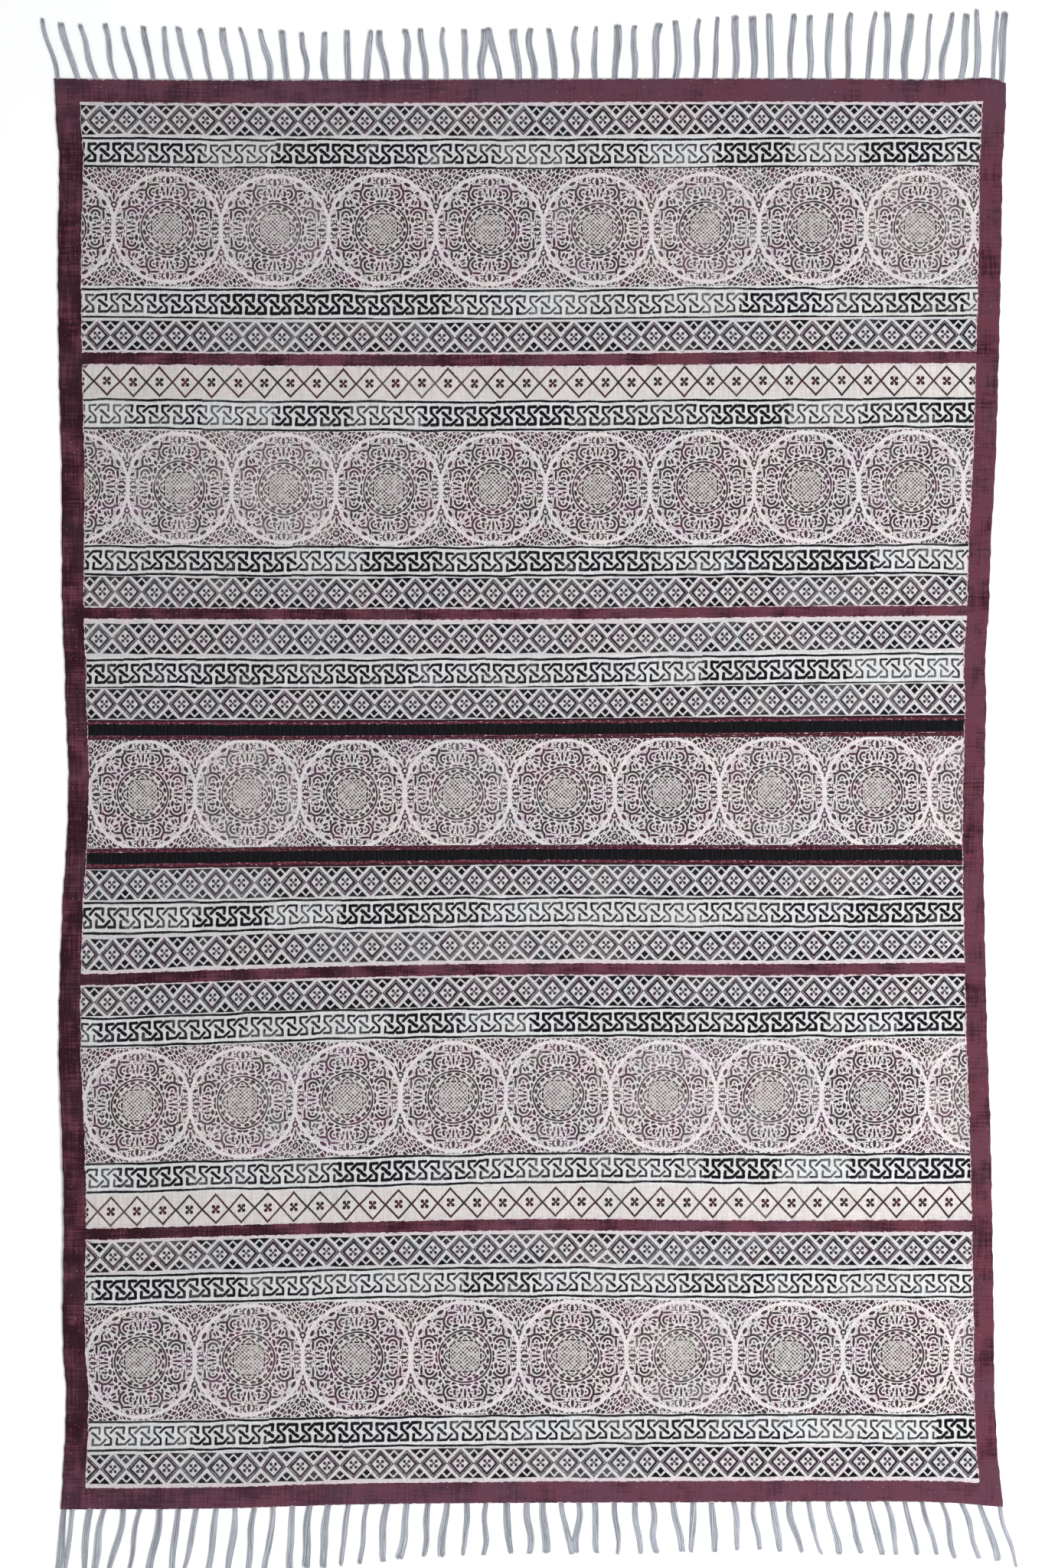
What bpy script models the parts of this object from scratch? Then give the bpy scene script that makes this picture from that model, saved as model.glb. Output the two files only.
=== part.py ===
"""A handwoven cotton dhurrie rug, lying flat.

One thin sheet of cloth with slightly waisted, uneven selvedges, and along each end a fringe:
a comb of warp tassels whose roots share a narrow heading strip against the cloth.

The rug lies on Z = 0 with its length along Y.  The origin is the middle of its footprint.
"""

import bpy
import numpy as np

# ---------------------------------------------------------------- driving dimensions (metres)

CLOTH_THICKNESS = 0.0030
FRINGE_THICKNESS = 0.0024
SEAM_GAP = 0.0003            # between the cloth's end and a fringe's heading strip

EDGE_STEP = 0.025            # spacing of the outline's points along a selvedge
END_STEP = 0.012             # spacing of the outline's points along an end

HEADING_DEPTH = 0.003        # strip of yarn that the tassels spring from
EVEN_TASSELS = 50            # tassels at a nearly even pitch; one more closes the end
FIRST_ROOT_INSET = 0.0045    # first tassel's middle, in from the cloth's corner
LAST_PITCH = 0.0106          # from the last even tassel to the closing one
LAST_ROOT_INSET = 0.0052     # closing tassel's middle, in from the cloth's corner

TASSEL_SEED = 7
ROOT_SCATTER = 0.0018
LEAN_SCATTER = 0.0032
LENGTH_SCATTER = 0.0022
WIDTH_SCATTER = 0.12         # as a share of the width
SWAY = 0.0010                # sideways bow of a tassel between root and tip

# Selvedges: distance from the middle line to the left and to the right edge.
#            up the rug   left     right
SELVEDGES = (
    (+0.901, 0.6012, 0.6003),
    (+0.847, 0.5985, 0.5990),
    (+0.799, 0.5950, 0.5960),
    (+0.700, 0.5965, 0.5945),
    (+0.510, 0.5947, 0.5900),
    (+0.412, 0.5920, 0.5868),
    (+0.315, 0.5916, 0.5812),
    (+0.219, 0.5906, 0.5780),
    (+0.160, 0.5876, 0.5738),
    (+0.120, 0.5868, 0.5752),
    (+0.025, 0.5832, 0.5730),
    (-0.072, 0.5860, 0.5716),
    (-0.120, 0.5897, 0.5724),
    (-0.313, 0.5955, 0.5765),
    (-0.410, 0.5920, 0.5800),
    (-0.507, 0.5892, 0.5822),
    (-0.700, 0.5897, 0.5850),
    (-0.748, 0.5862, 0.5853),
    (-0.845, 0.5897, 0.5905),
    (-0.901, 0.5935, 0.5975),
)

# Ends: distance from the middle of the length to the head edge and to the foot edge.
#         across    head     foot
ENDS = (
    (-0.600, 0.9020, 0.9042),
    (-0.395, 0.9000, 0.9034),
    (-0.250, 0.9002, 0.8988),
    (-0.104, 0.9010, 0.8968),
    (+0.186, 0.9022, 0.8955),
    (+0.379, 0.9020, 0.8945),
    (+0.524, 0.9006, 0.8958),
    (+0.588, 0.9010, 0.9004),
    (+0.600, 0.8960, 0.9014),
)

# How the tassels of the head end lie, counted from the left corner: the root's drift from an
# even pitch, the tip's sideways lean, and the length from the cloth to the tip.
#    tassel  drift     lean     length
TASSEL_LIE = (
    (0, +0.0000, -0.0210, 0.0740),
    (1, +0.0010, -0.0280, 0.0710),
    (3, +0.0012, -0.0140, 0.0690),
    (6, +0.0004, -0.0130, 0.0640),
    (9, +0.0025, -0.0125, 0.0650),
    (13, +0.0014, -0.0055, 0.0615),
    (15, +0.0045, -0.0020, 0.0620),
    (21, +0.0080, -0.0035, 0.0630),
    (25, +0.0010, -0.0060, 0.0620),
    (29, +0.0046, +0.0010, 0.0650),
    (33, +0.0100, +0.0045, 0.0740),
    (38, +0.0094, +0.0015, 0.0790),
    (42, +0.0100, +0.0050, 0.0820),
    (46, +0.0080, +0.0080, 0.0830),
    (49, +0.0000, +0.0060, 0.0840),
)

# Neighbours whose tips fall together: number of the first, its lean, its neighbour's lean.
TIPS_TOGETHER = (
    (16, +0.0062, -0.0095),
    (22, +0.0030, -0.0120),
)

# Outline of a tassel: half width at each share of its length.
#               share    half width
TASSEL_OUTLINE = (
    (0.00, 0.0030),
    (0.25, 0.0036),
    (0.60, 0.0038),
    (0.88, 0.0034),
    (0.97, 0.0020),
)

CLOTH_COLOUR = (0.33, 0.29, 0.29, 1.0)
FRINGE_COLOUR = (0.42, 0.44, 0.49, 1.0)
COTTON_ROUGHNESS = 0.92


# ---------------------------------------------------------------- small tools

def column(table, index):
    return np.array([row[index] for row in table])


def smooth_through(at, stations, values):
    """Cubic curve through the stations, with the slope at each the mean of its two chords."""
    stations, values = np.asarray(stations), np.asarray(values)
    chords = np.diff(values) / np.diff(stations)
    slopes = np.concatenate(([chords[0]], (chords[1:] + chords[:-1]) / 2, [chords[-1]]))
    at = np.clip(at, stations[0], stations[-1])
    span = np.clip(np.searchsorted(stations, at, side="right") - 1, 0, len(stations) - 2)
    width = stations[span + 1] - stations[span]
    t = (at - stations[span]) / width
    return ((2 * t**3 - 3 * t**2 + 1) * values[span] + (t**3 - 2 * t**2 + t) * width * slopes[span]
            + (3 * t**2 - 2 * t**3) * values[span + 1] + (t**3 - t**2) * width * slopes[span + 1])


def selvedge(y, side):
    """X of the left or right edge at the given heights up the rug."""
    rows = SELVEDGES[::-1]
    reach = smooth_through(y, column(rows, 0), column(rows, 1 if side == "left" else 2))
    return -reach if side == "left" else reach


def end_edge(x, end):
    """Distance of the head or foot edge from the middle of the length, at the given X."""
    return smooth_through(x, column(ENDS, 0), column(ENDS, 1 if end == "head" else 2))


def corner(side, end):
    """The cloth's corner: where the selvedge meets the end."""
    x = -0.6 if side == "left" else 0.6
    y = end_edge(x, end) * (1 if end == "head" else -1)
    return np.array([selvedge(y, side), y])


# ---------------------------------------------------------------- outlines, as (n, 2) points

def cloth_outline():
    """Counter-clockwise: foot end, right selvedge, head end, left selvedge."""
    def along_end(end, start, stop):
        x = np.linspace(start[0], stop[0], int(abs(stop[0] - start[0]) / END_STEP))
        return np.column_stack((x, end_edge(x, end) * (1 if end == "head" else -1)))

    def along_selvedge(side, start, stop):
        y = np.linspace(start[1], stop[1], int(abs(stop[1] - start[1]) / EDGE_STEP))
        return np.column_stack((selvedge(y, side), y))

    foot_left, foot_right = corner("left", "foot"), corner("right", "foot")
    head_left, head_right = corner("left", "head"), corner("right", "head")
    runs = (along_end("foot", foot_left, foot_right), along_selvedge("right", foot_right, head_right),
            along_end("head", head_right, head_left), along_selvedge("left", head_left, foot_left))
    return np.vstack([run[:-1] for run in runs])


def tassel_roots(left, right):
    """X of each tassel's root: an even pitch with its drift and scatter, then the closing tassel."""
    number = np.arange(EVEN_TASSELS)
    drift = smooth_through(number, column(TASSEL_LIE, 0), column(TASSEL_LIE, 1))
    scatter = np.random.RandomState(TASSEL_SEED).uniform(-ROOT_SCATTER, ROOT_SCATTER, EVEN_TASSELS)
    scatter[[0, -1]] = 0
    closing = right - LAST_ROOT_INSET
    even = np.linspace(left + FIRST_ROOT_INSET, closing - LAST_PITCH, EVEN_TASSELS)
    return np.append(even + drift + scatter, closing)


def tassel_lie(count):
    """Lean and length of each tassel: the trend along the end plus scatter, then the pairs."""
    scatter = np.random.RandomState(TASSEL_SEED + 1).uniform(-1, 1, (2, count))
    number = np.arange(count)
    lean = smooth_through(number, column(TASSEL_LIE, 0), column(TASSEL_LIE, 2))
    length = smooth_through(number, column(TASSEL_LIE, 0), column(TASSEL_LIE, 3))
    lean += LEAN_SCATTER * scatter[0]
    length += LENGTH_SCATTER * scatter[1]
    lean[-1] = lean[-2]
    for first, its_lean, neighbours_lean in TIPS_TOGETHER:
        lean[first], lean[first + 1] = its_lean, neighbours_lean
    return lean, length


def comb_outline(end_line, left, right):
    """A fringe with its tassels pointing to +Y: the seam side, then tassel after tassel back.

    end_line gives the cloth's edge at each X.  A tassel's middle line runs straight from root to
    tip with one slight bow, and its half width follows TASSEL_OUTLINE to a blunt rounded tip.
    """
    seam_x = np.linspace(left, right, int((right - left) / END_STEP))
    seam = np.column_stack((seam_x, end_line(seam_x) + SEAM_GAP))
    roots = tassel_roots(left, right)
    lean, length = tassel_lie(len(roots))
    draw = np.random.RandomState(TASSEL_SEED + 2)
    width = 1 + WIDTH_SCATTER * draw.uniform(-1, 1, len(roots))
    bow = SWAY * draw.uniform(-1, 1, len(roots))
    share, half = column(TASSEL_OUTLINE, 0), column(TASSEL_OUTLINE, 1)
    tassels = []
    for i in range(len(roots)):
        base_y = end_line(roots[i]) + SEAM_GAP
        rise = HEADING_DEPTH + (length[i] - HEADING_DEPTH) * share
        middle_x = roots[i] + lean[i] * share + bow[i] * np.sin(2 * np.pi * share)
        right_side = np.column_stack((middle_x + half * width[i], base_y + rise))
        left_side = np.column_stack((middle_x - half * width[i], base_y + rise))
        tip = np.array([[roots[i] + lean[i], base_y + length[i]]])
        tassels.append(np.vstack((right_side, tip, left_side[::-1])))
    heading_right, heading_left = ([[x, end_line(x) + SEAM_GAP + HEADING_DEPTH]] for x in (right, left))
    return np.vstack((seam, heading_right, *tassels[::-1], heading_left))


# ---------------------------------------------------------------- parts

def cotton(name, colour):
    material = bpy.data.materials.new(name)
    material.use_nodes = True
    shader = material.node_tree.nodes["Principled BSDF"]
    shader.inputs["Base Color"].default_value = colour
    shader.inputs["Roughness"].default_value = COTTON_ROUGHNESS
    shader.inputs["Metallic"].default_value = 0.0
    return material


def flat_piece(name, outline, thickness, material, collection):
    """A sheet cut to a flat outline, its underside on Z = 0."""
    curve = bpy.data.curves.new(name, "CURVE")
    curve.dimensions = "2D"
    curve.fill_mode = "BOTH"
    curve.extrude = thickness / 2
    spline = curve.splines.new("POLY")
    spline.points.add(len(outline) - 1)
    points = np.column_stack((outline, np.zeros(len(outline)), np.ones(len(outline))))
    spline.points.foreach_set("co", points.ravel())
    spline.use_cyclic_u = True
    curve.materials.append(material)
    piece = bpy.data.objects.new(name, curve)
    piece.location.z = thickness / 2
    collection.objects.link(piece)
    return piece


def main():
    for leftover in list(bpy.data.objects):
        bpy.data.objects.remove(leftover)
    collection = bpy.data.collections.new("dhurrie_rug")
    bpy.context.scene.collection.children.link(collection)

    head = (corner("left", "head")[0], corner("right", "head")[0])
    foot = (-corner("right", "foot")[0], -corner("left", "foot")[0])
    outlines = {
        "rug_cloth": cloth_outline(),
        "fringe_head_end": comb_outline(lambda x: end_edge(x, "head"), *head),
        "fringe_foot_end": -comb_outline(lambda x: end_edge(-np.asarray(x), "foot"), *foot),
    }
    every_point = np.vstack(list(outlines.values()))
    middle = (every_point.min(axis=0) + every_point.max(axis=0)) / 2

    woven = cotton("woven_cotton", CLOTH_COLOUR)
    warp = cotton("warp_yarn", FRINGE_COLOUR)
    flat_piece("rug_cloth", outlines["rug_cloth"] - middle, CLOTH_THICKNESS, woven, collection)
    for name in ("fringe_head_end", "fringe_foot_end"):
        flat_piece(name, outlines[name] - middle, FRINGE_THICKNESS, warp, collection)


main()
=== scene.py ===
"""A flat handwoven cotton dhurrie: block-printed bands, plum borders and a fringe at each end.

Lengths in the geometry are metres.  Lengths on the printed cloth are millimetres: the cloth
carries a map named Print whose first number runs across the rug, from the middle of one repeat,
and whose second runs up the rug, from the middle of the band that is being printed.
"""

import functools
import itertools
import math

import bpy
import numpy as np
from bpy.props import FloatProperty, FloatVectorProperty, IntProperty, PointerProperty
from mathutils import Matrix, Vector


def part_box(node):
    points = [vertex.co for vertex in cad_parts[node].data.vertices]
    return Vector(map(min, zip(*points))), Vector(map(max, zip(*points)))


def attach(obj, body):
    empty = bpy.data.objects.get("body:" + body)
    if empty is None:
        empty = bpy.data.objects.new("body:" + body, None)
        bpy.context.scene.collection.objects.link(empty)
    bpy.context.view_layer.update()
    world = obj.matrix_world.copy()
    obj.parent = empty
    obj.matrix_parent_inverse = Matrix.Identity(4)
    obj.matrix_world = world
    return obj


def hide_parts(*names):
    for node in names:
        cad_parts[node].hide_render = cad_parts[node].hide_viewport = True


bl_info = {
    "name": "Block-Printed Dhurrie Rug",
    "version": (1, 0, 0),
    "blender": (4, 5, 0),
    "location": "View3D > Sidebar > Dhurrie",
    "description": "Weaves and prints a flat cotton rug, ties its fringes and sets it on a pale floor",
    "category": "Add Mesh",
}

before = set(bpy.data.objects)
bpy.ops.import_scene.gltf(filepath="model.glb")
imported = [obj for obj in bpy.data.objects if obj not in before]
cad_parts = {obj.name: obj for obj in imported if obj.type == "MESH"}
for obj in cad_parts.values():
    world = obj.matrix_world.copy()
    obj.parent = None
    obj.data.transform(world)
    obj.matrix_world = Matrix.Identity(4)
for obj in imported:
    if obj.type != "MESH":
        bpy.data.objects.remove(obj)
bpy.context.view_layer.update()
CLOTH_LOW, CLOTH_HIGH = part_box("rug_cloth")
BODY = "root"

MM = 0.001
FLOOR_REACH = 40.0                  # how far the floor reaches to each side
CAMERA_ASIDE = (-0.01015, 0.0116)   # the camera's place from the middle of the rug

# ------------------------------------------------------------------ the rug's outline and layout

# Selvedges: distance from the middle line to the left and to the right edge.
#    up the rug  left     right
SELVEDGES = (
    (+0.901, 0.6012, 0.6003),
    (+0.847, 0.5985, 0.5990),
    (+0.799, 0.5950, 0.5960),
    (+0.700, 0.5965, 0.5945),
    (+0.510, 0.5947, 0.5900),
    (+0.412, 0.5920, 0.5868),
    (+0.315, 0.5916, 0.5812),
    (+0.219, 0.5906, 0.5780),
    (+0.160, 0.5876, 0.5738),
    (+0.120, 0.5868, 0.5752),
    (+0.025, 0.5832, 0.5730),
    (-0.072, 0.5860, 0.5716),
    (-0.120, 0.5897, 0.5724),
    (-0.313, 0.5955, 0.5765),
    (-0.410, 0.5920, 0.5800),
    (-0.507, 0.5892, 0.5822),
    (-0.700, 0.5897, 0.5850),
    (-0.748, 0.5862, 0.5853),
    (-0.845, 0.5897, 0.5905),
    (-0.901, 0.5935, 0.5975),
)

# Ends: distance from the middle of the length to the head edge and to the foot edge.
#    across   head    foot
ENDS = (
    (-0.600, 0.9020, 0.9042),
    (-0.395, 0.9000, 0.9034),
    (-0.250, 0.9002, 0.8988),
    (-0.104, 0.9010, 0.8968),
    (+0.186, 0.9022, 0.8955),
    (+0.379, 0.9020, 0.8945),
    (+0.524, 0.9006, 0.8958),
    (+0.588, 0.9010, 0.9004),
    (+0.600, 0.8960, 0.9014),
)

# Plum side borders: their widths.
#    up the rug  left     right
BORDERS = (
    (+0.900, 0.0320, 0.0300),
    (+0.700, 0.0300, 0.0290),
    (+0.400, 0.0295, 0.0290),
    (+0.150, 0.0268, 0.0275),
    (-0.100, 0.0262, 0.0268),
    (-0.400, 0.0290, 0.0268),
    (-0.700, 0.0285, 0.0260),
    (-0.900, 0.0300, 0.0275),
)

# How far the printed lines stray upwards from straight, at five places across the rug.
STRAY_ACROSS = (-0.537, -0.264, 0.007, 0.278, 0.514)
#    up the rug   the five places
STRAY = (
    (+0.790, +0.0010, -0.0012, -0.0014, +0.0008, +0.0018),
    (+0.480, +0.0008, -0.0016, -0.0018, +0.0010, +0.0020),
    (+0.270, +0.0000, -0.0018, -0.0021, +0.0000, +0.0008),
    (+0.160, -0.0024, -0.0030, -0.0016, +0.0019, +0.0052),
    (+0.000, -0.0017, -0.0012, +0.0001, +0.0014, +0.0012),
    (-0.115, -0.0037, +0.0004, +0.0030, +0.0018, +0.0018),
    (-0.220, -0.0098, -0.0010, +0.0034, +0.0026, +0.0042),
    (-0.480, -0.0090, -0.0018, +0.0040, +0.0030, +0.0036),
    (-0.600, -0.0074, -0.0004, +0.0036, +0.0008, +0.0014),
    (-0.710, -0.0052, -0.0002, +0.0034, +0.0040, +0.0045),
    (-0.820, -0.0064, -0.0014, +0.0024, +0.0034, +0.0032),
)

# Size of one repeat on its printing block, in millimetres.
REPEAT = {"lattice": 33.2, "knots": 30.8, "medallions": 136.0, "diamonds": 34.0}

# The bands from head to foot, in millimetres: the head edge of each above the rug's middle, the
# middle of its figure, the spacing of its repeats, and the place across of one repeat's middle.
#    kind         head edge  middle  spacing  at
BANDS = (
    ("plum", 901.2, 886.0, 0, 0),
    ("lattice", 871.1, 849.4, 33.41, -9.2),
    ("knots", 829.4, 807.5, 30.93, 3.0),
    ("medallions", 788.9, 712.6, 135.73, -51.4),
    ("knots", 639.6, 617.9, 31.12, 3.6),
    ("lattice", 599.2, 576.9, 33.45, -12.1),
    ("plum", 556.2, 548.2, 0, 0),
    ("diamonds", 540.2, 519.1, 33.13, -4.7),
    ("knots", 498.3, 478.0, 30.87, 2.4),
    ("medallions", 457.7, 385.5, 131.87, -47.5),
    ("knots", 314.6, 294.2, 30.68, -10.1),
    ("lattice", 274.1, 254.3, 32.91, -14.2),
    ("plum", 235.4, 228.0, 0, 0),
    ("lattice", 220.7, 196.7, 32.90, 14.7),
    ("knots", 174.6, 153.4, 30.45, -11.3),
    ("lattice", 135.0, 114.9, 32.44, 13.6),
    ("black", 95.0, 82.0, 0, 0),
    ("medallions", 69.0, -0.1, 132.41, 39.9),
    ("black", -66.7, -79.8, 0, 0),
    ("lattice", -93.0, -112.4, 32.74, -4.7),
    ("knots", -132.9, -152.8, 30.46, -10.6),
    ("lattice", -172.5, -194.8, 32.80, -3.2),
    ("plum", -217.6, -225.3, 0, 0),
    ("lattice", -233.0, -253.3, 33.01, -5.7),
    ("knots", -271.9, -291.9, 30.62, -10.9),
    ("medallions", -312.7, -385.5, 132.86, 35.1),
    ("knots", -457.4, -477.2, 30.83, -12.7),
    ("diamonds", -497.8, -519.6, 33.05, -1.1),
    ("plum", -540.6, -548.3, 0, 0),
    ("lattice", -556.0, -578.2, 33.69, 11.9),
    ("knots", -600.2, -620.1, 30.96, -7.1),
    ("medallions", -641.7, -713.4, 136.44, 53.3),
    ("knots", -786.1, -805.8, 31.22, -2.8),
    ("lattice", -826.4, -847.0, 33.72, 12.6),
    ("plum", -869.9, -884.0, 0, 0),
)
FOOT_LINE = -897.5           # nominal height of the foot edge, in millimetres
BAND_RUN = 1400.0            # each band's map starts about this far on from its neighbour's
TURNED = ("black", "diamonds")  # kinds laid end for end in the half towards the foot

SLOTS = ("plum", "lattice", "knots", "medallions", "diamonds", "black", "back")

# How the tassels lie, counted from an end's left corner with that end turned up: the root's
# drift from an even pitch, the tip's sideways lean, and the length from the cloth to the tip.
#    tassel  drift   lean     length
TASSEL_LIE = (
    (0, +0.0000, -0.0210, 0.0740),
    (1, +0.0010, -0.0280, 0.0710),
    (3, +0.0012, -0.0140, 0.0690),
    (6, +0.0004, -0.0130, 0.0640),
    (9, +0.0025, -0.0125, 0.0650),
    (13, +0.0014, -0.0055, 0.0615),
    (15, +0.0045, -0.0020, 0.0620),
    (21, +0.0080, -0.0035, 0.0630),
    (25, +0.0010, -0.0060, 0.0620),
    (29, +0.0046, +0.0010, 0.0650),
    (33, +0.0100, +0.0045, 0.0740),
    (38, +0.0094, +0.0015, 0.0790),
    (42, +0.0100, +0.0050, 0.0820),
    (46, +0.0080, +0.0080, 0.0830),
    (49, +0.0000, +0.0060, 0.0840),
)

# Neighbours whose tips fall together: number of the first, its lean, its neighbour's lean.
TIPS_TOGETHER = (
    (16, +0.0062, -0.0095),
    (22, +0.0030, -0.0120),
)

# How much further the foot end's tassels lean.
#    tassel  further lean
FOOT_LEAN = (
    (0, -0.0010),
    (12, -0.0030),
    (24, +0.0020),
    (34, +0.0060),
    (44, +0.0075),
    (50, +0.0050),
)

EVEN_TASSELS = 50
FIRST_ROOT_INSET = 0.0045
LAST_PITCH = 0.0106
LAST_ROOT_INSET = 0.0052
TASSEL_SEED = 7
ROOT_SCATTER = 0.0018
LEAN_SCATTER = 0.0032
LENGTH_SCATTER = 0.0022
SWAY = 0.0021                # sideways bow of a tassel between root and tip
TIP_HOOK = 0.0035            # how far a tip may bend aside at its very end
TUCKED = 0.0012              # how far the roots reach into the cloth's end
HALF_BREADTH = 0.0029        # of a bundle of yarns, at its root
HALF_DEPTH = 0.0010
OPENING = 0.0006             # added to the half breadth between root and tip
YARN_WAVER = 0.00055         # how far a yarn strays aside in its bundle
YARN_ENDS = 0.030            # how unequal a bundle's yarns are, as a share of their length
YARN_LENGTHS = 9             # straight lengths in a yarn's tube
BEARING_STEP = 2.39996       # radians from one yarn to the next round the bundle's middle


# ------------------------------------------------------------------ sizes and colours to change

def metres(name, description, default):
    """A length that can be changed."""
    return FloatProperty(name=name, description=description, default=default, unit="LENGTH")


def tint(name, description, *default):
    """A colour that can be changed."""
    return FloatVectorProperty(name=name, description=description, default=default, subtype="COLOR")


class RugSizes(bpy.types.PropertyGroup):
    """Sizes of the weave, the sheet and the tassels."""
    rib_pitch: metres("Rib pitch", "Spacing of the ribs across the cloth", 2.5 * MM)
    weft_pitch: metres("Weft pitch", "Spacing of the weft yarns up the cloth", 1.25 * MM)
    weave_relief: metres("Weave relief", "Depth of the hollows between yarns", 0.35 * MM)
    unevenness: metres("Unevenness", "Height of the cloth's softest swells", 1.8 * MM)
    grid_step: metres("Grid step", "Spacing of the sheet's rows and columns", 9.0 * MM)
    yarn_radius: metres("Yarn radius", "Radius of one yarn of a tassel", 0.55 * MM)
    yarns: IntProperty(name="Yarns", description="Yarns in one tassel", default=30)


class RugColours(bpy.types.PropertyGroup):
    """Colours of the cotton, the dyes and the printing inks."""
    cotton: tint("Cotton", "Ground of the medallion bands", 0.640, 0.585, 0.580)
    warm_cotton: tint("Warm cotton", "Ground of the diamond bands", 0.590, 0.552, 0.532)
    cool_cotton: tint("Cool cotton", "Ground of the knot bands", 0.595, 0.602, 0.608)
    # Besides real wear, the pale plum also stands for painted light towards the right, and the deep plum
    # for painted shade at the left.
    plum: tint("Plum", "Borders and stripes where they are worn pale", 0.118, 0.034, 0.053)
    deep_plum: tint("Deep plum", "Borders where the dye is strongest", 0.026, 0.006, 0.011)
    black: tint("Black", "Ink of the lines, knots and small triangles", 0.004, 0.004, 0.006)
    brown: tint("Brown", "Ink of the medallions", 0.026, 0.015, 0.019)
    yarn: tint("Warp yarn", "Tassels", 0.345, 0.362, 0.405)


class StudioSettings(bpy.types.PropertyGroup):
    """The floor, the lights and the camera."""
    floor: tint("Floor", "Colour of the floor", 0.93, 0.93, 0.93)
    key_power: FloatProperty(name="Key light", description="Power of the large soft light", default=150.0)
    fill_strength: FloatProperty(name="Fill light", description="Strength of the light from all round",
                                 default=0.66)
    camera_height: metres("Camera height", "Height of the camera above the floor", 5.5)


# ------------------------------------------------------------------ curves through the tables

def column(table, index):
    """One column of a table as an array."""
    return np.array([row[index] for row in table])


def smooth_through(at, stations, values):
    """Cubic curve through the stations, its slope at each the mean of the two chords there."""
    stations, values = np.asarray(stations), np.asarray(values)
    chords = np.diff(values) / np.diff(stations)
    slopes = np.concatenate(([chords[0]], (chords[1:] + chords[:-1]) / 2, [chords[-1]]))
    at = np.clip(at, stations[0], stations[-1])
    span = np.clip(np.searchsorted(stations, at, side="right") - 1, 0, len(stations) - 2)
    width = stations[span + 1] - stations[span]
    t = (at - stations[span]) / width
    return ((2 * t**3 - 3 * t**2 + 1) * values[span] + (t**3 - 2 * t**2 + t) * width * slopes[span]
            + (3 * t**2 - 2 * t**3) * values[span + 1] + (t**3 - t**2) * width * slopes[span + 1])


def at_side(table, y, side):
    """A table's number for one side at height y; its rows run from head to foot."""
    rows = table[::-1]
    return smooth_through(y, column(rows, 0), column(rows, 1 if side == "left" else 2))


def selvedge(y, side):
    """Place across of the cloth's left or right edge at height y."""
    reach = at_side(SELVEDGES, y, side)
    return -reach if side == "left" else reach


def edge_bumps(y, turn):
    """Small bumps along a selvedge, where the weft turns back: three quick sines added."""
    return 0.0003 * (np.sin(97 * y + turn) + np.sin(211 * y + 3 * turn) + np.sin(353 * y + 5 * turn))


def end_edge(x, end):
    """Distance from the middle of the length to the head or foot edge at x."""
    return smooth_through(x, column(ENDS, 0), column(ENDS, 1 if end == "head" else 2))


def corner_x(side, end):
    """Place across of one of the cloth's corners."""
    reach = end_edge(0.6 if side == "right" else -0.6, end)
    return float(selvedge(reach if end == "head" else -reach, side))


def middle_shift():
    """From the tables' own middle to the frame's: the cloth node's low corner less the tables'."""
    up = np.linspace(-0.904, 0.902, 3000)
    across = np.linspace(-0.6, 0.6, 2000)
    low_x = min(selvedge(up, "left").min(), corner_x("left", "head"))
    low_y = -end_edge(across, "foot").max()
    return np.array([CLOTH_LOW.x - low_x, CLOTH_LOW.y - low_y])


# ------------------------------------------------------------------ meshes from arrays

def mesh_piece(name, vertices, quads, materials, slots=None):
    """One smooth mesh object at the origin, from vertices (n, 3) and quads (m, 4)."""
    mesh = bpy.data.meshes.new(name)
    mesh.vertices.add(len(vertices))
    mesh.vertices.foreach_set("co", vertices.astype(np.float32).ravel())
    mesh.loops.add(quads.size)
    mesh.loops.foreach_set("vertex_index", quads.astype(np.int32).ravel())
    mesh.polygons.add(len(quads))
    mesh.polygons.foreach_set("loop_start", np.arange(0, quads.size, 4, dtype=np.int32))
    for material in materials:
        mesh.materials.append(material)
    if slots is not None:
        mesh.polygons.foreach_set("material_index", slots.astype(np.int32))
    mesh.update(calc_edges=True)
    if mesh.validate():
        raise RuntimeError(f"{name} came out with faces that had to be mended")
    mesh.shade_smooth()
    piece = bpy.data.objects.new(name, mesh)
    bpy.context.scene.collection.objects.link(piece)
    return piece


def add_map(mesh, name, places):
    """A UV map from one place for each corner, in the order of the mesh's corners."""
    layer = mesh.uv_layers.new(name=name)
    layer.uv.foreach_set("vector", places.astype(np.float32).ravel())


def add_number(mesh, name, numbers):
    """A number for each vertex."""
    attribute = mesh.attributes.new(name, "FLOAT", "POINT")
    attribute.data.foreach_set("value", numbers.astype(np.float32).ravel())


# ------------------------------------------------------------------ the cloth

def swells(x, y, height):
    """Gentle unevenness of the lying cloth, never below the floor.

    Five slow sine waves in different directions are added.  What rises above a level is squared,
    so it starts softly and most of the cloth touches the floor.
    """
    #          across  up    turn
    waves = ((5.1, 3.3, 0.4), (-3.7, 6.1, 2.1), (8.3, -2.2, 4.0), (2.1, 9.4, 1.3), (11.0, 7.3, 5.2))
    total = sum(np.sin(across * x + up * y + turn) for across, up, turn in waves)
    return height * np.clip((total + 0.6) / 4.0, 0, 1) ** 2


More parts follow.
